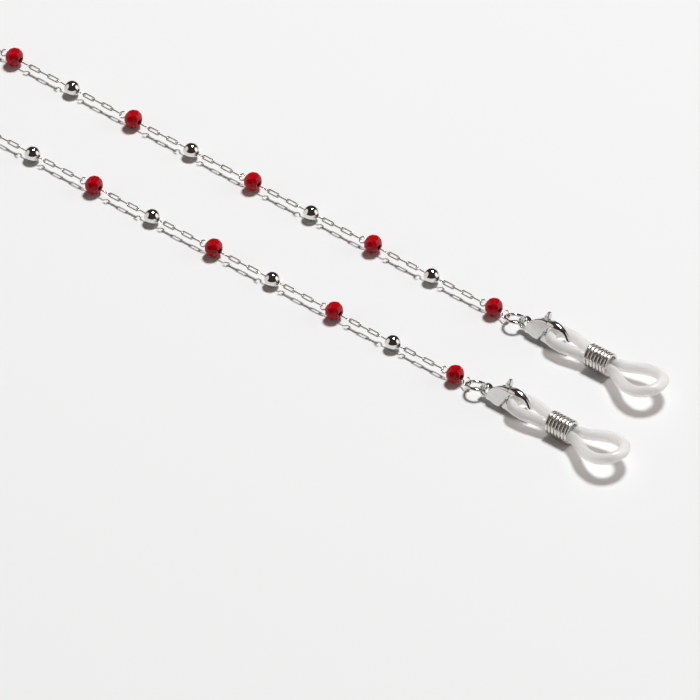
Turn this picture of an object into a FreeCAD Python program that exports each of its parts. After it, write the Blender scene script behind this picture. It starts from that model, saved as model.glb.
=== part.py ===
import FreeCAD, Part
import math
import os

# Beaded eyeglass chain. Each end carries a split jump ring, a lobster clasp and a
# silicone temple loop pinched by a wire coil. The two end strands lie side by side
# along +X, and the middle of the chain lies folded in flat runs behind them.
# All lengths are in millimetres and all angles in degrees.

WIRE = 0.28
LINK_GAP = 0.32
LINK_PITCH = 2.43
LINK_WIDTH = 1.0
LINK_CORNER = 0.25
STRAND_HEIGHT = 1.65
# Neighbouring links lie at right angles to each other, both leaning off the table.
FAR_ROLL, NEAR_ROLL = 45.0, 135.0

EYE_RADIUS, LAST_EYE_RADIUS = 0.66, 0.85
EYE_BEND = 0.25
EYE_SWEEP = 288.0

BALL_DIAMETER, BALL_WALL = 3.3, 0.3
RONDELLE_DIAMETER = 4.0
RONDELLE_SIDES = 10
BEAD_HOLE = 1.1
# Rings of a faceted rondelle: place along the hole, and radius.
RONDELLE_RINGS = ((-1.6, 0.95), (-1.05, 1.66), (-0.35, 2.0), (0.35, 2.0), (1.05, 1.66), (1.6, 0.95))

# From a bead's centre to the end wire of its pin's eye, on the side towards the
# middle of the chain (back) and on the side towards the temple loop (front).
BALL_BACK, BALL_FRONT = 4.00, 3.42
RED_BACK, RED_FRONT, LAST_FRONT = 3.45, 4.40, 4.02

STRAND_SPACING, STRAND_LEAD = 21.4, 7.24
# Links between a red bead's back eye and the next ball, and between that ball and the next
# red bead. Each strand has this many such periods before the chain turns into its fold.
RED_TO_BALL_ROLLS = (NEAR_ROLL, FAR_ROLL, NEAR_ROLL, FAR_ROLL)
BALL_TO_RED_ROLLS = (FAR_ROLL, NEAR_ROLL, FAR_ROLL)
PERIODS = 4
STORED_PERIODS = 6
# Stretches of the folded middle that turn back, then the elbow of its last run.
FOLDS = (6, 12, 17)
ELBOW = 20

RING_RADIUS, RING_WIRE, RING_SLIT = 2.12, 0.6, 4.0
RING_X, RING_HEIGHT = 5.65, 1.92
RING_TILT, RING_PITCH = -18.0, -5.0

CLASP_X, CLASP_HEIGHT, CLASP_LEAN = 8.22, 2.2, 70.0
CLASP_THICKNESS, CLASP_EYE, CLASP_EYE_HOLE, CLASP_EYE_THICKNESS = 2.2, 2.8, 1.9, 1.3
CLAW_TIP_THICKNESS = 0.9
SLOT_WIDTH, LEVER_THICKNESS, GATE_THICKNESS, KNOB_THICKNESS = 0.9, 0.8, 1.3, 1.3
PIVOT = (4.2, 0.1)
PIVOT_DIAMETER, PIVOT_LENGTH, PIVOT_CLEARANCE, HUB_RADIUS = 0.7, 1.8, 0.04, 0.8
SPRING_WIRE = 0.2

TUBE_DIAMETER, WAIST_DIAMETER, WAIST_SPACING, FLARE = 2.35, 1.7, 1.6, 0.8
WAIST_OVERLAP = 0.3
BEND_X, BEND_HEIGHT, LOOP_Y = 15.3, 2.85, 0.2
REAR_WIDTH, REAR_STRAIGHT = 4.1, 1.4
TIP_X, TIP_Y, TIP_HEIGHT = 43.7, -1.45, 4.85
FRONT_WIDTH, FRONT_STRAIGHT = 7.5, 1.0

COIL_DIAMETER, COIL_WIRE, COIL_PITCH, COIL_TURNS = 5.0, 0.72, 0.83, 7.2
COIL_X = 24.25

LINK_LENGTH = LINK_PITCH + LINK_GAP
COIL_LENGTH = COIL_PITCH * COIL_TURNS + COIL_WIRE
BEAD_REACH = {"ball": (BALL_BACK, BALL_FRONT), "red": (RED_BACK, RED_FRONT)}
BEAD_REACH["middle"] = (RED_FRONT, RED_FRONT)
RED_TO_BALL = RED_BACK + len(RED_TO_BALL_ROLLS) * LINK_PITCH - LINK_GAP + BALL_FRONT
BALL_TO_RED = BALL_BACK + len(BALL_TO_RED_ROLLS) * LINK_PITCH - LINK_GAP + RED_FRONT
PERIOD = RED_TO_BALL + BALL_TO_RED
RED_HEIGHT = RONDELLE_DIAMETER / 2.0

ORIGIN = FreeCAD.Vector(0, 0, 0)
X_AXIS = FreeCAD.Vector(1, 0, 0)
Y_AXIS = FreeCAD.Vector(0, 1, 0)
Z_AXIS = FreeCAD.Vector(0, 0, 1)


def point(x, y, z=0.0):
    return FreeCAD.Vector(x, y, z)


def about(axis, angle):
    return FreeCAD.Rotation(axis, angle)


def placed(shape, place, *rotations):
    """A copy of the shape, turned by the last rotation first, and then moved."""
    turned = FreeCAD.Rotation()
    for rotation in rotations:
        turned = turned.multiply(rotation)
    copy = shape.copy()
    copy.Placement = FreeCAD.Placement(place, turned).multiply(shape.Placement)
    return copy


def arc(start, through, end):
    return Part.Arc(point(*start), point(*through), point(*end)).toShape()


def line(start, end):
    return Part.LineSegment(point(*start), point(*end)).toShape()


def arc_about(centre, radius, first, last):
    """Arc in the XY plane about a centre, from one angle to another, either way round."""
    places = []
    for angle in (first, (first + last) / 2.0, last):
        turned = math.radians(angle)
        places.append((centre[0] + radius * math.cos(turned), centre[1] + radius * math.sin(turned)))
    return arc(*places)


def round_wire(edges, diameter):
    """Round bar swept along tangent edges."""
    path = Part.Wire(edges)
    first = path.Edges[0]
    start = first.valueAt(first.FirstParameter)
    along = first.tangentAt(first.FirstParameter)
    section = Part.Wire(Part.makeCircle(diameter / 2.0, start, along))
    return path.makePipeShell([section], True, False)


def plate(edges, thickness):
    """Flat piece of an outline in the XY plane, centred on that plane."""
    face = Part.Face(Part.Wire(edges))
    solid = face.extrude(point(0, 0, thickness))
    solid.translate(point(0, 0, -thickness / 2.0))
    return solid


def polygon(*corners):
    return Part.makePolygon([point(*corner) for corner in corners + corners[:1]]).Edges


def disc(centre, diameter, thickness):
    return Part.makeCylinder(diameter / 2.0, thickness, point(centre[0], centre[1], -thickness / 2.0))


# ------------------------------------------------------------- pieces of the chain


def link():
    """Paperclip link in the XY plane, its long sides along X."""
    end_x = LINK_LENGTH / 2.0
    side_y = (LINK_WIDTH - WIRE) / 2.0
    corner_x = end_x - LINK_CORNER
    corner_y = side_y - LINK_CORNER
    edges = [line((0.0, -side_y), (corner_x, -side_y))]
    edges.append(arc_about((corner_x, -corner_y), LINK_CORNER, -90.0, 0.0))
    edges.append(line((end_x, -corner_y), (end_x, corner_y)))
    edges.append(arc_about((corner_x, corner_y), LINK_CORNER, 0.0, 90.0))
    edges.append(line((corner_x, side_y), (0.0, side_y)))
    half = round_wire(edges, WIRE)
    return half.fuse(placed(half, ORIGIN, about(Z_AXIS, 180.0))).removeSplitter()


def pin_half(reach, eye_radius):
    """Half of a bead pin along +X, with its eye's end wire at the reach."""
    lift = math.degrees(math.acos(EYE_BEND / (EYE_BEND + eye_radius)))
    centre_x = reach - eye_radius
    bend_x = centre_x - (EYE_BEND + eye_radius) * math.sin(math.radians(lift))
    start = 270.0 - lift
    middle = start + EYE_SWEEP / 2.0
    edges = [line((0.0, 0.0), (bend_x, 0.0))]
    edges.append(arc_about((bend_x, -EYE_BEND), EYE_BEND, 90.0, 90.0 - lift))
    edges.append(arc_about((centre_x, 0.0), eye_radius, start, middle))
    edges.append(arc_about((centre_x, 0.0), eye_radius, middle, start + EYE_SWEEP))
    return round_wire(edges, WIRE)


def eye_pin(back, back_roll, front, front_roll, front_radius=EYE_RADIUS):
    """Bead pin along X, the bead's centre at the origin, its front towards +X."""
    front_half = placed(pin_half(front, front_radius), ORIGIN, about(X_AXIS, front_roll))
    back_half = placed(pin_half(back, EYE_RADIUS), ORIGIN, about(Z_AXIS, 180.0),
                       about(X_AXIS, 180.0 - back_roll))
    return front_half.fuse(back_half).removeSplitter()


def bead_hole():
    return Part.makeCylinder(BEAD_HOLE / 2.0, 2.0 * RONDELLE_DIAMETER, point(-RONDELLE_DIAMETER, 0), X_AXIS)


def metal_ball():
    """Hollow ball with a hole along X, turned from the outline of its wall."""
    outer, inner, hole = BALL_DIAMETER / 2.0, BALL_DIAMETER / 2.0 - BALL_WALL, BEAD_HOLE / 2.0
    outer_x, inner_x = math.sqrt(outer ** 2 - hole ** 2), math.sqrt(inner ** 2 - hole ** 2)
    outline = [arc((-outer_x, hole), (0.0, outer), (outer_x, hole))]
    outline.append(line((outer_x, hole), (inner_x, hole)))
    outline.append(arc((inner_x, hole), (0.0, inner), (-inner_x, hole)))
    outline.append(line((-inner_x, hole), (-outer_x, hole)))
    return Part.Face(Part.Wire(outline)).revolve(ORIGIN, X_AXIS, 360.0)


def rondelle():
    """Glass bead cut in staggered triangular facets, with a hole along X."""
    rings = []
    for row, (x, radius) in enumerate(RONDELLE_RINGS):
        ring = []
        for side in range(RONDELLE_SIDES):
            angle = math.radians((side + 0.5 * (row % 2)) * 360.0 / RONDELLE_SIDES)
            ring.append(point(x, radius * math.cos(angle), radius * math.sin(angle)))
        rings.append(ring)
    outlines = [rings[0], rings[-1]]
    for row in range(len(rings) - 1):
        even, odd = rings[row:row + 2] if row % 2 == 0 else (rings[row + 1], rings[row])
        for side in range(RONDELLE_SIDES):
            after = (side + 1) % RONDELLE_SIDES
            outlines.append([even[side], even[after], odd[side]])
            outlines.append([odd[side], odd[after], even[after]])
    faces = [Part.Face(Part.makePolygon(outline + outline[:1])) for outline in outlines]
    solid = Part.makeSolid(Part.makeShell(faces))
    if solid.Volume < 0:
        solid.reverse()
    return solid.cut(bead_hole())


# ------------------------------------------------------------- pieces of one end


def jump_ring():
    """Split ring in the XY plane, its slit on the far side of the strand's line."""
    section = Part.Face(Part.Wire(Part.makeCircle(RING_WIRE / 2.0, point(RING_RADIUS, 0), Y_AXIS)))
    ring = section.revolve(ORIGIN, Z_AXIS, 360.0 - RING_SLIT)
    return placed(ring, ORIGIN, about(Z_AXIS, 70.0))


def clasp_body():
    """Lobster claw with its eye at the origin, its hook along +X and its back towards +Y."""
    outline = [arc((1.0, 0.85), (3.1, 2.45), (5.6, 3.15))]
    outline.append(arc((5.6, 3.15), (9.4, 2.75), (11.35, 0.65)))
    outline.append(line((11.35, 0.65), (10.75, 0.7)))
    outline.append(arc((10.75, 0.7), (10.0, 1.8), (8.1, 2.25)))
    outline.append(arc((8.1, 2.25), (6.15, 1.8), (5.25, 0.35)))
    outline.append(line((5.25, 0.35), (4.35, -1.6)))
    outline.append(arc((4.35, -1.6), (2.5, -1.5), (1.0, -0.8)))
    outline.append(line((1.0, -0.8), (1.0, 0.85)))
    half, tip = CLASP_THICKNESS / 2.0, CLAW_TIP_THICKNESS / 2.0
    sides = polygon((0.0, half), (7.4, half), (12.0, tip), (12.0, -tip), (7.4, -half), (0.0, -half))
    body = plate(outline, CLASP_THICKNESS)
    body = body.common(placed(plate(sides, 8.0), ORIGIN, about(X_AXIS, 90.0)))
    body = body.fuse(disc((0, 0), CLASP_EYE, CLASP_EYE_THICKNESS))
    body = body.cut(disc((0, 0), CLASP_EYE_HOLE, CLASP_THICKNESS))
    slot = polygon((2.1, -1.0), (3.3, -1.0), (3.3, -2.5), (5.8, -2.5), (5.8, 3.6), (3.55, 3.6),
                   (3.55, 1.5), (2.1, 1.5))
    body = body.cut(plate(slot, SLOT_WIDTH))
    return body.cut(disc(PIVOT, PIVOT_DIAMETER, PIVOT_LENGTH)).removeSplitter()


def clasp_lever():
    """Gate, hub and thumb knob in one piece, in the clasp's own frame."""
    web = polygon((3.45, 0.3), (4.5, 3.45), (5.4, 3.45), (5.1, 0.4), (5.6, -0.1), (6.2, -1.2),
                  (4.75, -1.5), (3.9, -0.65))
    gate = [line((5.42, 0.15), (4.62, -1.6))]
    gate.append(line((4.62, -1.6), (7.0, -1.95)))
    gate.append(arc((7.0, -1.95), (8.95, -1.45), (10.3, -0.1)))
    gate.append(line((10.3, -0.1), (9.75, 0.45)))
    gate.append(arc((9.75, 0.45), (8.35, -0.76), (6.7, -1.15)))
    gate.append(line((6.7, -1.15), (5.42, 0.15)))
    knob = [line((5.55, 3.38), (5.35, 4.5)), arc((5.35, 4.5), (5.05, 4.8), (4.75, 4.5))]
    knob.append(line((4.75, 4.5), (4.3, 3.38)))
    knob.append(line((4.3, 3.38), (5.55, 3.38)))
    lever = plate(web, LEVER_THICKNESS).fuse(disc(PIVOT, 2.0 * HUB_RADIUS, LEVER_THICKNESS))
    lever = lever.fuse(plate(gate, GATE_THICKNESS)).fuse(plate(knob, KNOB_THICKNESS))
    hole = disc(PIVOT, PIVOT_DIAMETER + 2.0 * PIVOT_CLEARANCE, CLASP_THICKNESS)
    return lever.cut(hole).removeSplitter()


def lever_pin():
    return disc(PIVOT, PIVOT_DIAMETER, PIVOT_LENGTH)


def lever_spring():
    """Bent wire between the clasp's inner wall and the back of the lever."""
    edges = [line((2.2, 1.25), (2.2, -0.4)), arc((2.2, -0.4), (2.5, -0.7), (2.8, -0.4))]
    edges.append(line((2.8, -0.4), (2.8, -0.15)))
    edges.append(arc_about((3.05, -0.15), 0.25, 180.0, 90.0))
    edges.append(line((3.05, 0.1), (3.4, 0.1)))
    return round_wire(edges, SPRING_WIRE)


def grip_coil():
    """Close-wound wire sleeve along +X, resting on the table."""
    radius = (COIL_DIAMETER - COIL_WIRE) / 2.0
    path = Part.makeHelix(COIL_PITCH, COIL_PITCH * COIL_TURNS, radius)
    slope = point(0, 2.0 * math.pi * radius, COIL_PITCH)
    section = Part.Wire(Part.makeCircle(COIL_WIRE / 2.0, point(radius, 0), slope))
    coil = Part.Wire(path.Edges).makePipeShell([section], True, True)
    return placed(coil, point(COIL_X + COIL_WIRE / 2.0, LOOP_Y, COIL_DIAMETER / 2.0), about(Y_AXIS, 90.0))


def loop_lobe(width, reach, straight):
    """Half of the temple loop, opening along +X from the squeezed pair of tubes."""
    start_y, end_y = WAIST_SPACING / 2.0, width / 2.0
    shift = end_y - start_y
    spread = reach - end_y - straight - FLARE
    radius = (spread ** 2 + shift ** 2) / (4.0 * shift)
    swing = math.degrees(2.0 * math.atan(shift / spread))
    bend_x = reach - end_y
    edges = [arc_about((FLARE, start_y + radius), radius, -90.0, -90.0 + swing)]
    edges.append(arc_about((FLARE + spread, end_y - radius), radius, 90.0 + swing, 90.0))
    edges.append(line((FLARE + spread, end_y), (bend_x, end_y)))
    edges.append(arc_about((bend_x, 0.0), end_y, 90.0, 0.0))
    side = round_wire(edges, TUBE_DIAMETER)
    flare = Part.makeCone(WAIST_DIAMETER / 2.0, TUBE_DIAMETER / 2.0, FLARE, point(0, start_y), X_AXIS)
    side = side.fuse(flare)
    return side.fuse(placed(side, ORIGIN, about(X_AXIS, 180.0)))


def lobe_turn(start, tip):
    """Rotation that points a lobe from its mouth to its tip, kept level across."""
    away = tip - start
    turn = about(Z_AXIS, math.degrees(math.atan2(away.y, away.x)))
    return turn.multiply(about(Y_AXIS, -math.degrees(math.atan2(away.z, math.hypot(away.x, away.y)))))


def silicone_loop():
    """Closed tube in a figure of eight, its waist inside the coil."""
    height = COIL_DIAMETER / 2.0
    rear_mouth = point(COIL_X, LOOP_Y, height)
    front_mouth = point(COIL_X + COIL_LENGTH, LOOP_Y, height)
    bend, tip = point(BEND_X, LOOP_Y, BEND_HEIGHT), point(TIP_X, TIP_Y, TIP_HEIGHT)
    front = loop_lobe(FRONT_WIDTH, (tip - front_mouth).Length, FRONT_STRAIGHT)
    rear = loop_lobe(REAR_WIDTH, (bend - rear_mouth).Length, REAR_STRAIGHT)
    loop = placed(front, front_mouth, lobe_turn(front_mouth, tip))
    loop = loop.fuse(placed(rear, rear_mouth, lobe_turn(rear_mouth, bend)))
    length = COIL_LENGTH + 2.0 * WAIST_OVERLAP
    for side_y in (WAIST_SPACING / 2.0, -WAIST_SPACING / 2.0):
        start = rear_mouth + point(-WAIST_OVERLAP, side_y)
        loop = loop.fuse(Part.makeCylinder(WAIST_DIAMETER / 2.0, length, start, X_AXIS))
    return loop


# ------------------------------------------------------------- layout of the chain


def walk(stretches, start, heading, bends):
    """Follow stretches of links and their beads from contact to contact.

    A stretch is its links' rolls, its bead, and whether the walk goes towards the temple
    loop. A bend is shared evenly by the joints of its stretch. Gives each piece's name,
    roll, place and facing, then the last contact.
    """
    places = []
    for number, (rolls, bead, ahead) in enumerate(stretches):
        bend = bends.get(number, 0.0) / (len(rolls) + 1)
        reach = [side - LINK_GAP / 2.0 for side in BEAD_REACH.get(bead, ())]
        if not ahead:
            reach.reverse()
        steps = [("link", roll, LINK_PITCH / 2.0, LINK_PITCH / 2.0) for roll in rolls]
        steps.append((bead, 0.0, reach[0], reach[1]) if bead else (None, 0.0, 0.0, 0.0))
        for name, roll, before, after in steps:
            heading += bend
            along = point(math.cos(math.radians(heading)), math.sin(math.radians(heading)))
            if name:
                places.append((name, roll, start + along * before, heading + (0.0 if ahead else 180.0)))
            start = start + along * (before + after)
    return places, start


def fold(start, end):
    """Walk the folded middle of the chain, its last run bowed so that it meets the end."""
    away = [(RED_TO_BALL_ROLLS, "ball", False), (BALL_TO_RED_ROLLS, "red", False)] * STORED_PERIODS
    away[-1] = (BALL_TO_RED_ROLLS, "middle", False)
    back = [(BALL_TO_RED_ROLLS[::-1], "ball", True), (RED_TO_BALL_ROLLS[::-1], "red", True)] * STORED_PERIODS
    back[-1] = (RED_TO_BALL_ROLLS[::-1], None, True)
    stretches = away + back

    def run(bow, elbow):
        bends = {FOLDS[0]: 180.0, FOLDS[1]: -180.0, FOLDS[2]: 180.0 - bow, ELBOW: elbow}
        bends[len(stretches) - 1] = bow - elbow
        return walk(stretches, start, 180.0, bends)

    bow, elbow, step = 22.0, 44.0, 0.01
    for _ in range(8):
        miss = run(bow, elbow)[1] - end
        by_bow = (run(bow + step, elbow)[1] - end - miss) * (1.0 / step)
        by_elbow = (run(bow, elbow + step)[1] - end - miss) * (1.0 / step)
        scale = by_bow.x * by_elbow.y - by_bow.y * by_elbow.x
        bow -= (miss.x * by_elbow.y - miss.y * by_elbow.x) / scale
        elbow -= (miss.y * by_bow.x - miss.x * by_bow.y) / scale
    return run(bow, elbow)[0]


def add(nodes, name, shape):
    nodes.setdefault(name, []).append(shape)


def add_pieces(nodes, names, library, places):
    """Put the walked pieces into the nodes that hold their kind."""
    for name, roll, place, facing in places:
        heading = about(Z_AXIS, facing)
        height = Z_AXIS * STRAND_HEIGHT
        if name == "link":
            add(nodes, names["link"], placed(library["link"], place + height, heading, about(X_AXIS, roll)))
            continue
        bead = "ball" if name == "ball" else "red"
        lift = height if bead == "ball" else Z_AXIS * RED_HEIGHT
        add(nodes, names["pin"], placed(library[name + "_pin"], place + height, heading))
        add(nodes, names[bead], placed(library[bead], place + lift, heading))


def strand_origin(strand):
    """Centre line point of a strand's last red bead, on the table."""
    if strand == "a":
        return point(0.0, STRAND_SPACING / 2.0)
    return point(STRAND_LEAD, -STRAND_SPACING / 2.0)


def add_strand(nodes, library, strand):
    """Four periods of chain, each a red bead, its links, a ball and the links behind it."""
    origin = strand_origin(strand)
    stretches = [(RED_TO_BALL_ROLLS, "ball", False), (BALL_TO_RED_ROLLS, None, False)]
    for number in range(1, PERIODS + 1):
        names = {"link": "links_", "pin": "eye_pins_", "red": "red_bead_", "ball": "metal_ball_"}
        names = {kind: "%s%s%d" % (name, strand, number) for kind, name in names.items()}
        red = origin - X_AXIS * (PERIODS - number) * PERIOD
        places = walk(stretches, red - X_AXIS * (RED_BACK - LINK_GAP / 2.0), 180.0, {})[0]
        places.append(("last" if number == PERIODS else "red", 0.0, red, 0.0))
        add_pieces(nodes, names, library, places)


def add_stored_chain(nodes, library):
    """The middle of the chain, folded flat behind the two strands."""
    names = {"link": "stored_links", "pin": "stored_eye_pins"}
    names.update({"red": "stored_red_beads", "ball": "stored_metal_balls"})
    reds = [strand_origin(strand) - X_AXIS * PERIODS * PERIOD for strand in "ab"]
    start, end = [red - X_AXIS * (RED_BACK - LINK_GAP / 2.0) for red in reds]
    places = [("red", 0.0, red, 0.0) for red in reds] + fold(start, end)
    add_pieces(nodes, names, library, places)


def add_end(nodes, strand):
    """Jump ring, clasp, temple loop and coil at the front of a strand."""
    origin = strand_origin(strand)
    ring = placed(jump_ring(), origin + point(RING_X, 0, RING_HEIGHT),
                  about(Y_AXIS, RING_PITCH), about(X_AXIS, RING_TILT))
    add(nodes, "jump_ring_" + strand, ring)
    clasp_place = origin + point(CLASP_X, 0, CLASP_HEIGHT)
    for name, make in (("clasp_body_", clasp_body), ("clasp_lever_", clasp_lever),
                       ("lever_pin_", lever_pin), ("lever_spring_", lever_spring)):
        add(nodes, name + strand, placed(make(), clasp_place, about(X_AXIS, CLASP_LEAN)))
    add(nodes, "silicone_loop_" + strand, placed(silicone_loop(), origin))
    add(nodes, "grip_coil_" + strand, placed(grip_coil(), origin))


def eyeglass_chain():
    """Every node of the chain, its box centred on the origin and standing on z = 0."""
    library = {"link": link(), "red": rondelle(), "ball": metal_ball()}
    library["red_pin"] = eye_pin(RED_BACK, FAR_ROLL, RED_FRONT, NEAR_ROLL)
    library["last_pin"] = eye_pin(RED_BACK, FAR_ROLL, LAST_FRONT, FAR_ROLL, LAST_EYE_RADIUS)
    library["middle_pin"] = eye_pin(RED_FRONT, FAR_ROLL, RED_FRONT, NEAR_ROLL)
    library["ball_pin"] = eye_pin(BALL_BACK, NEAR_ROLL, BALL_FRONT, NEAR_ROLL)
    nodes = {}
    add_stored_chain(nodes, library)
    for strand in "ab":
        add_strand(nodes, library, strand)
        add_end(nodes, strand)
    shapes = {name: Part.makeCompound(solids) if len(solids) > 1 else solids[0]
              for name, solids in nodes.items()}
    box = Part.makeCompound(list(shapes.values())).optimalBoundingBox()
    shift = point(-box.Center.x, -box.Center.y, -box.ZMin)
    for shape in shapes.values():
        shape.translate(shift)
    return shapes, shift


def main():
    shapes, _ = eyeglass_chain()
    os.makedirs("parts", exist_ok=True)
    for name, shape in shapes.items():
        shape.exportStep("parts/%s.step" % name)


main()
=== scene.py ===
import math
import bpy
from mathutils import Matrix, Vector


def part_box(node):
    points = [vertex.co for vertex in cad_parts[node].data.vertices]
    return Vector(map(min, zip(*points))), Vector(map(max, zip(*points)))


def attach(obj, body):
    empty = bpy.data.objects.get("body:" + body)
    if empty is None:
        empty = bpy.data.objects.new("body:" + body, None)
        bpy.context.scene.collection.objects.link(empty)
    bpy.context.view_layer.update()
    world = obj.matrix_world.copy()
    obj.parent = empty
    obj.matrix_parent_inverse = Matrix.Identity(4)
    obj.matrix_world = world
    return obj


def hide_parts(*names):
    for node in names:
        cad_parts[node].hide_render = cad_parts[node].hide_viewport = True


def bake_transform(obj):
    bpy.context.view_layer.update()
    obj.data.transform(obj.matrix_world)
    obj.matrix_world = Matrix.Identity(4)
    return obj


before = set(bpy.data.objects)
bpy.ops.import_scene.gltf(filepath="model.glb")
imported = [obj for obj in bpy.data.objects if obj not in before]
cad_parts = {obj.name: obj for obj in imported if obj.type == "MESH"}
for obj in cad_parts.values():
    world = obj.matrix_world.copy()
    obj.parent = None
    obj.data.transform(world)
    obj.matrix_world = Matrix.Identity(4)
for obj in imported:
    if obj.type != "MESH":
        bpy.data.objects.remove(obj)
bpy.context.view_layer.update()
MM = 0.001

# The silicone loop, in millimetres. It is squeezed to a waist inside the coil and widens over the
# flare to its full tube. A lobe reaches away from the coil's mouth to its far end.
TUBE_RADIUS, WAIST_RADIUS, WAIST_OFFSET, HALF_COIL = 1.175, 0.9, 0.8, 3.348
FLARE, MOUTH, MOUTH_OFFSET, MOUTH_SLOPE = 0.8, 0.6, 1.25, 0.12
REAR = {"width": 4.1, "straight": 1.4, "away": Vector((-8.95, 0.0, 0.35))}
FRONT = {"width": 7.5, "straight": 1.0, "away": Vector((12.754, -1.65, 2.35))}
# Steps along one side of a lobe: inside the coil, over the spread, straight on and round the tip.
INSIDE_STEPS, SPREAD_STEPS, STRAIGHT_STEPS, TIP_STEPS = 20, 24, 4, 30

# The clasp's own frame, in millimetres: its lean in degrees, its rivet, and the two arcs of the
# claw's back, each as x, y and radius.
CLASP_LEAN, PIVOT = 70.0, (4.2, 0.1)
CLAW_BACK = ((6.195, -3.791, 6.966), (7.043, -1.394, 4.768))
BACK_JOIN = 5.6
# The back is domed from the shoulder on, in a band that widens and deepens towards the hook.
SHOULDER_X, CLAW_BELLY_Y = 1.2, -0.3
DOME_START, DOME_END = 2.2, 7.5
DOME_WIDTH, DOME_DEPTH, DOME_FIRST_SHARE = (0.35, 1.2), 0.8, 0.35
KNOB_BASE, KNOB_RISE, KNOB_TOP_SHARE = 3.3, 1.55, 0.97
CASTING_VOXEL = 0.06
BODY_SMOOTHING, LEVER_SMOOTHING = 9, 7

# Colours of the lamps, and the camera: what it aims at, how far away it stands, and its angles.
COOL_WHITE, WARM_WHITE = (0.985, 0.995, 1.0), (1.0, 0.92, 0.86)
AIM = Vector((0.072286, -0.009832, 0.0))
CAMERA_DISTANCE, CAMERA_LENS = 5.916, 1500.0
AZIMUTH, ELEVATION = math.radians(39.2), math.radians(40.0)
TABLE_SIZE, TABLE_GAP = 14.0, 0.00001


# ------------------------------------------------------------- materials


def new_material(name):
    """A material with its node tree and its main shader."""
    material = bpy.data.materials.new(name)
    material.use_nodes = True
    tree = material.node_tree
    shader = tree.nodes["Principled BSDF"]
    return material, tree, shader


def noise(tree, scale, detail=3.0, roughness=0.5):
    """Even random pattern that stays with the piece."""
    where = tree.nodes.new("ShaderNodeTexCoord")
    made = tree.nodes.new("ShaderNodeTexNoise")
    made.inputs["Scale"].default_value = scale
    made.inputs["Detail"].default_value = detail
    made.inputs["Roughness"].default_value = roughness
    tree.links.new(where.outputs["Object"], made.inputs["Vector"])
    return made.outputs["Fac"]


def remap(tree, value, low, high):
    """Stretch the middle of a noise to run from low to high."""
    made = tree.nodes.new("ShaderNodeMapRange")
    made.inputs["From Min"].default_value = 0.3
    made.inputs["From Max"].default_value = 0.7
    made.inputs["To Min"].default_value = low
    made.inputs["To Max"].default_value = high
    tree.links.new(value, made.inputs["Value"])
    return made.outputs["Result"]


def two_tone(tree, shader, first, second, scale):
    """Base colour that wanders between two close shades. Returns the colour."""
    tone = tree.nodes.new("ShaderNodeMix")
    tone.data_type = "RGBA"
    tone.inputs["A"].default_value = (*first, 1.0)
    tone.inputs["B"].default_value = (*second, 1.0)
    tree.links.new(remap(tree, noise(tree, scale), 0.0, 1.0), tone.inputs["Factor"])
    tree.links.new(tone.outputs["Result"], shader.inputs["Base Color"])
    return tone.outputs["Result"]


def uneven_gloss(tree, shader, value, low, high):
    """Roughness that wanders between low and high."""
    tree.links.new(remap(tree, value, low, high), shader.inputs["Roughness"])


def bump(tree, shader, value, strength, depth, rounding=0.0):
    """Fine relief, over edges softened by the rounding."""
    made = tree.nodes.new("ShaderNodeBump")
    if rounding:
        edge = tree.nodes.new("ShaderNodeBevel")
        edge.samples = 6
        edge.inputs["Radius"].default_value = rounding
        tree.links.new(edge.outputs["Normal"], made.inputs["Normal"])
    made.inputs["Strength"].default_value = strength
    made.inputs["Distance"].default_value = depth
    tree.links.new(value, made.inputs["Height"])
    tree.links.new(made.outputs["Normal"], shader.inputs["Normal"])


def metal(name, colour, rough_low, rough_high, grain, depth, rounding=0.0):
    """Plated metal with a slightly uneven polish."""
    material, tree, shader = new_material(name)
    shader.inputs["Metallic"].default_value = 1.0
    shader.inputs["IOR"].default_value = 1.5
    shader.inputs["Specular Tint"].default_value = (1.0, 1.0, 1.0, 1.0)
    two_tone(tree, shader, colour, [c * 0.93 for c in colour], 260.0)
    uneven_gloss(tree, shader, noise(tree, 700.0, 4.0), rough_low, rough_high)
    relief = noise(tree, grain, 5.0, 0.6)
    bump(tree, shader, relief, strength=0.35, depth=depth, rounding=rounding)
    return material


def let_light_through(tree, surface, colour, share, seen=0.0):
    """Let a share of the lamps' light through, tinted, and show part of what is behind."""
    out = tree.nodes["Material Output"]
    rays = tree.nodes.new("ShaderNodeLightPath")
    amount = tree.nodes.new("ShaderNodeMath")
    amount.operation = "MULTIPLY_ADD"
    amount.inputs[1].default_value = share - seen
    amount.inputs[2].default_value = seen
    clear = tree.nodes.new("ShaderNodeBsdfTransparent")
    clear.inputs["Color"].default_value = (*colour, 1.0)
    mix = tree.nodes.new("ShaderNodeMixShader")
    tree.links.new(rays.outputs["Is Shadow Ray"], amount.inputs[0])
    tree.links.new(amount.outputs["Value"], mix.inputs["Fac"])
    tree.links.new(surface, mix.inputs[1])
    tree.links.new(clear.outputs["BSDF"], mix.inputs[2])
    tree.links.new(mix.outputs["Shader"], out.inputs["Surface"])


def red_glass():
    """Deep red glass whose facets catch the light, with a red tint in its shadow."""
    material, tree, shader = new_material("red_glass")
    shader.inputs["IOR"].default_value = 1.5
    shader.inputs["Specular IOR Level"].default_value = 0.22
    shader.inputs["Subsurface Weight"].default_value = 0.3
    shader.inputs["Subsurface Radius"].default_value = (1.0, 0.05, 0.05)
    shader.inputs["Subsurface Scale"].default_value = 0.0008
    two_tone(tree, shader, (0.44, 0.0015, 0.008), (0.33, 0.0008, 0.005), 420.0)
    uneven_gloss(tree, shader, noise(tree, 900.0), 0.1, 0.18)
    bump(tree, shader, noise(tree, 700.0), strength=0.08, depth=0.00002)
    let_light_through(tree, shader.outputs["BSDF"], (0.95, 0.3, 0.25), share=0.2)
    return material


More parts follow.
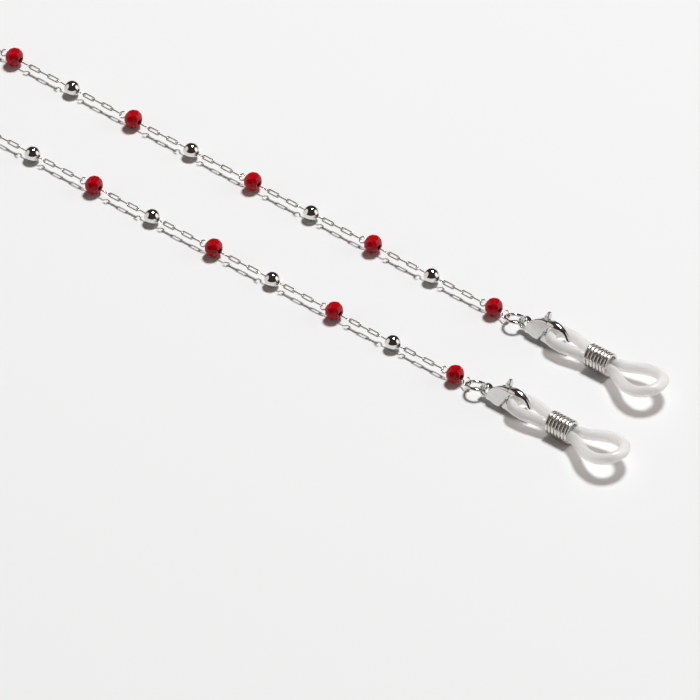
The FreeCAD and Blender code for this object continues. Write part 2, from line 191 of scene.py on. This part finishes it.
def silicone():
    """Milky rubber: light glows inside the tube, and what is behind shows faintly through it."""
    material, tree, shader = new_material("silicone")
    shader.inputs["Specular IOR Level"].default_value = 0.9
    shader.inputs["IOR"].default_value = 1.41
    shader.inputs["Subsurface Weight"].default_value = 0.3
    shader.inputs["Subsurface Radius"].default_value = (1.0, 0.92, 0.82)
    shader.inputs["Subsurface Scale"].default_value = 0.0006
    colour = two_tone(tree, shader, (0.89, 0.905, 0.915), (0.86, 0.875, 0.885), 150.0)
    uneven_gloss(tree, shader, noise(tree, 500.0, 4.0), 0.2, 0.27)
    bump(tree, shader, noise(tree, 900.0), strength=0.1, depth=0.000006)
    glow = tree.nodes.new("ShaderNodeBsdfTranslucent")
    tree.links.new(colour, glow.inputs["Color"])
    mix = tree.nodes.new("ShaderNodeMixShader")
    mix.inputs["Fac"].default_value = 0.35
    tree.links.new(shader.outputs["BSDF"], mix.inputs[1])
    tree.links.new(glow.outputs["BSDF"], mix.inputs[2])
    tint = (0.95, 0.905, 0.875)
    let_light_through(tree, mix.outputs["Shader"], tint, share=0.52, seen=0.42)
    return material


def table_top():
    """Plain pale matt surface."""
    material, _, shader = new_material("table_top")
    shader.inputs["Specular IOR Level"].default_value = 0.2
    shader.inputs["Roughness"].default_value = 0.6
    shader.inputs["Base Color"].default_value = (0.70, 0.70, 0.70, 1.0)
    return material


# ------------------------------------------------------------- soft loops


def ease(value):
    """Smooth step from 0 to 1."""
    value = min(max(value, 0.0), 1.0)
    return value * value * (3.0 - 2.0 * value)


def widened(x, waist, full):
    """A measure of the tube that grows over the flare from its waist value to its full one."""
    return waist + (full - waist) * ease((x + FLARE) / (MOUTH + FLARE))


def lobe_line(width, straight, reach):
    """Centre line of one lobe in its own plane, out of the coil and back in, with its radii.

    Each side runs inside the coil, spreads on a smooth curve that leaves the mouth at a slope,
    goes straight along the lobe and turns a quarter round to the tip.
    """
    end = width / 2.0
    spread = reach - end - straight - MOUTH
    slope = MOUTH_SLOPE * spread
    side = []
    for step in range(INSIDE_STEPS + 1):
        x = -HALF_COIL + (HALF_COIL + MOUTH) * step / INSIDE_STEPS
        side.append((x, widened(x, WAIST_OFFSET, MOUTH_OFFSET)))
    for step in range(1, SPREAD_STEPS + 1):
        t = step / SPREAD_STEPS
        from_mouth = (2.0 * t ** 3 - 3.0 * t ** 2 + 1.0) * MOUTH_OFFSET
        along_slope = (t ** 3 - 2.0 * t ** 2 + t) * slope
        to_end = (3.0 * t ** 2 - 2.0 * t ** 3) * end
        side.append((MOUTH + spread * t, from_mouth + along_slope + to_end))
    for step in range(1, STRAIGHT_STEPS + 1):
        side.append((MOUTH + spread + straight * step / STRAIGHT_STEPS, end))
    for step in range(1, TIP_STEPS + 1):
        angle = math.radians(90.0 - 90.0 * step / TIP_STEPS)
        side.append((reach - end + end * math.cos(angle), end * math.sin(angle)))
    whole = side + [(x, -y) for x, y in reversed(side[:-1])]
    return whole, [widened(x, WAIST_RADIUS, TUBE_RADIUS) for x, _ in whole]


def tube(name, line, radii, mouth, away, sides=32):
    """Round tube along a flat line: level inside the coil, and pointing away from it outside."""
    level = Vector((math.copysign(1.0, away.x), 0.0, 0.0))
    flat_across = Vector((0.0, level.x, 0.0))
    lobe_along = away.normalized()
    lobe_across = Vector((-lobe_along.y, lobe_along.x, 0.0)).normalized()
    path, ups = [], []
    for x, y in line:
        outside = ease(x / MOUTH + 0.5)
        along = level.lerp(lobe_along, outside).normalized() if x > 0.0 else level
        across = flat_across.lerp(lobe_across, outside).normalized()
        path.append(mouth + (along * x + across * y) * MM)
        ups.append(along.cross(across).normalized())
    vertices, faces = [], []
    for index, place in enumerate(path):
        before, after = path[max(index - 1, 0)], path[min(index + 1, len(path) - 1)]
        across = ups[index].cross(after - before).normalized()
        for side in range(sides):
            angle = 2.0 * math.pi * side / sides
            ring = across * math.cos(angle) + ups[index] * math.sin(angle)
            vertices.append(place + ring * (radii[index] * MM))
    for index in range(len(line) - 1):
        for side in range(sides):
            after = (side + 1) % sides
            low, high = index * sides, (index + 1) * sides
            faces.append((low + side, high + side, high + after, low + after))
    faces.append(tuple(range(sides)))
    faces.append(tuple(reversed(range(len(vertices) - sides, len(vertices)))))
    mesh = bpy.data.meshes.new(name)
    mesh.from_pydata([tuple(v) for v in vertices], [], faces)
    mesh.validate()
    for polygon in mesh.polygons:
        polygon.use_smooth = len(polygon.vertices) == 4
    made = bpy.data.objects.new(name, mesh)
    bpy.context.scene.collection.objects.link(made)
    return made


def soft_loop(end, material):
    """The silicone loop of one end, as a front and a rear lobe that meet inside the coil."""
    low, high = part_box("grip_coil_" + end)
    middle = (low + high) / 2.0
    mouths = {
        "front": Vector((high.x, middle.y, middle.z)),
        "rear": Vector((low.x, middle.y, middle.z)),
    }
    pieces = {}
    for name, sizes in (("front", FRONT), ("rear", REAR)):
        away = sizes["away"]
        line, radii = lobe_line(sizes["width"], sizes["straight"], away.length)
        piece = tube("silicone_%s_%s" % (name, end), line, radii, mouths[name], away)
        piece.data.materials.append(material)
        pieces[name] = piece
    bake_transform(pieces["front"])
    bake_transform(pieces["rear"])
    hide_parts("silicone_loop_" + end)


# ------------------------------------------------------------- the CAD pieces


def paint(name, material):
    """Give a CAD piece one material."""
    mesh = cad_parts[name].data
    mesh.materials.clear()
    mesh.materials.append(material)


def smooth(name, angle):
    """Shade a CAD piece smooth, apart from edges sharper than the angle in degrees."""
    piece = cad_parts[name]
    for polygon in piece.data.polygons:
        polygon.use_smooth = True
    piece.data.set_sharp_from_angle(angle=math.radians(angle))


def domed(spot):
    """A point of the clasp body, in millimetres, with the claw's back rounded from side to side."""
    x, y, radius = CLAW_BACK[0] if spot.x < BACK_JOIN else CLAW_BACK[1]
    depth = max(radius - math.hypot(spot.x - x, spot.y - y), 0.0)
    grown = ease((spot.x - DOME_START) / (DOME_END - DOME_START))
    width = DOME_WIDTH[0] + (DOME_WIDTH[1] - DOME_WIDTH[0]) * grown
    if spot.x > SHOULDER_X and spot.y > CLAW_BELLY_Y and depth < width:
        near = 1.0 - depth / width
        share = DOME_FIRST_SHARE + (1.0 - DOME_FIRST_SHARE) * grown
        spot.z *= 1.0 - DOME_DEPTH * share * (1.0 - math.sqrt(1.0 - near * near))
    return spot


def knobbed(spot):
    """A point of the lever, in millimetres, with the thumb knob's top rounded."""
    if spot.y > KNOB_BASE:
        high = min((spot.y - KNOB_BASE) / KNOB_RISE, KNOB_TOP_SHARE)
        spot.z *= math.sqrt(1.0 - high * high)
    return spot


def casting(node, end, body, rounds, shaped, material):
    """A cast copy of a clasp piece in the clasp's own frame: its edges softened, then shaped."""
    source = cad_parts[node]
    pin_low, pin_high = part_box("lever_pin_" + end)
    lean = Matrix.Rotation(math.radians(CLASP_LEAN), 4, "X")
    rivet = Matrix.Translation(Vector((-PIVOT[0], -PIVOT[1], 0.0)) * MM)
    made = bpy.data.objects.new("cast_" + node, source.data.copy())
    made.matrix_world = Matrix.Translation((pin_low + pin_high) / 2.0) @ lean @ rivet
    made.data.transform(made.matrix_world.inverted() @ source.matrix_world)
    bpy.context.scene.collection.objects.link(made)
    skin = made.modifiers.new("skin", "REMESH")
    skin.mode = "VOXEL"
    skin.voxel_size = CASTING_VOXEL * MM
    soften = made.modifiers.new("soften", "SMOOTH")
    soften.factor = 0.5
    soften.iterations = rounds
    shown = made.evaluated_get(bpy.context.evaluated_depsgraph_get())
    made.data = bpy.data.meshes.new_from_object(shown)
    made.modifiers.clear()
    for vertex in made.data.vertices:
        vertex.co = shaped(vertex.co / MM) * MM
    for polygon in made.data.polygons:
        polygon.use_smooth = True
    made.data.materials.clear()
    made.data.materials.append(material)
    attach(made, body)
    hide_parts(node)


# Each finish: colour, roughness from and to, grain per metre and its depth, then edge rounding, in
# metres.
cast = metal("cast_plate", (0.75, 0.745, 0.735), 0.12, 0.19, 1500.0, 0.000006)
polished = metal("polished_plate", (0.74, 0.725, 0.705), 0.06, 0.13, 1500.0, 0.000012, 0.0002)
ring_plate = metal("ring_plate", (0.70, 0.685, 0.665), 0.08, 0.15, 1500.0, 0.00001)
mirror_ball = metal("ball_plate", (0.80, 0.79, 0.775), 0.03, 0.07, 900.0, 0.000008)
wire = metal("wire_plate", (0.56, 0.52, 0.48), 0.18, 0.3, 2500.0, 0.00001)
coiled = metal("coiled_plate", (0.78, 0.75, 0.715), 0.2, 0.3, 2200.0, 0.00001)
glass = red_glass()
soft = silicone()

# The silicone and the clasp castings are replaced below. The other CAD pieces keep their shape:
# each gets its finish, and stays crisp at edges sharper than the corner in degrees.
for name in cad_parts:
    if "silicone" in name:
        continue
    if "red_bead" in name:
        paint(name, glass)
        continue
    if "ball" in name:
        finish, corner = mirror_ball, 40.0
    elif "links" in name or "eye_pins" in name:
        finish, corner = wire, 50.0
    elif "ring" in name and "spring" not in name:
        finish, corner = ring_plate, 50.0
    elif "coil" in name:
        finish, corner = coiled, 60.0
    else:
        finish, corner = polished, 35.0
    paint(name, finish)
    smooth(name, corner)

for end in "ab":
    soft_loop(end, soft)
    casting("clasp_body_" + end, end, "clasp_" + end, BODY_SMOOTHING, domed, cast)
    casting("clasp_lever_" + end, end, "lever_" + end, LEVER_SMOOTHING, knobbed, cast)

# ------------------------------------------------------------- table, light and camera


def area_light(name, offset, size, power, colour):
    """Round soft lamp that stands off from the camera's aim and points at it."""
    data = bpy.data.lights.new(name, "AREA")
    data.shape = "DISK"
    data.size = size
    data.energy = power
    data.color = colour
    made = bpy.data.objects.new(name, data)
    made.location = AIM + offset
    made.rotation_mode = "QUATERNION"
    made.rotation_quaternion = (AIM - made.location).to_track_quat("-Z", "Y")
    bpy.context.scene.collection.objects.link(made)


bpy.ops.mesh.primitive_plane_add(size=TABLE_SIZE, location=(AIM.x, AIM.y, -TABLE_GAP))
table = bpy.context.object
table.name = "table"
table.data.materials.append(table_top())

world = bpy.data.worlds.new("studio")
bpy.context.scene.world = world
world.use_nodes = True
sky = world.node_tree.nodes["Background"]
sky.inputs["Color"].default_value = (1.0, 0.9, 0.82, 1.0)
sky.inputs["Strength"].default_value = 0.035

# A softbox high behind the chain throws the short shadows, and two low panels light the sides.
area_light("softbox", Vector((-0.129, 1.122, 2.781)), size=0.7, power=108.0, colour=COOL_WHITE)
area_light("left_panel", Vector((-2.9, -1.9, 1.1)), size=4.2, power=34.0, colour=WARM_WHITE)
area_light("right_panel", Vector((2.9, 2.3, 1.3)), size=3.6, power=40.0, colour=WARM_WHITE)

camera_data = bpy.data.cameras.new("camera")
camera_data.lens = CAMERA_LENS
camera_data.sensor_width = 36.0
camera_data.clip_end = 20.0
camera = bpy.data.objects.new("camera", camera_data)
bpy.context.scene.collection.objects.link(camera)
level = math.cos(ELEVATION)
back = Vector((math.sin(AZIMUTH) * level, -math.cos(AZIMUTH) * level, math.sin(ELEVATION)))
camera.location = AIM + back * CAMERA_DISTANCE
camera.rotation_mode = "QUATERNION"
camera.rotation_quaternion = (-back).to_track_quat("-Z", "Y")
bpy.context.scene.camera = camera

bpy.context.scene.view_settings.view_transform = "Standard"
bpy.context.scene.view_settings.look = "None"
bpy.context.scene.view_settings.exposure = 0.0
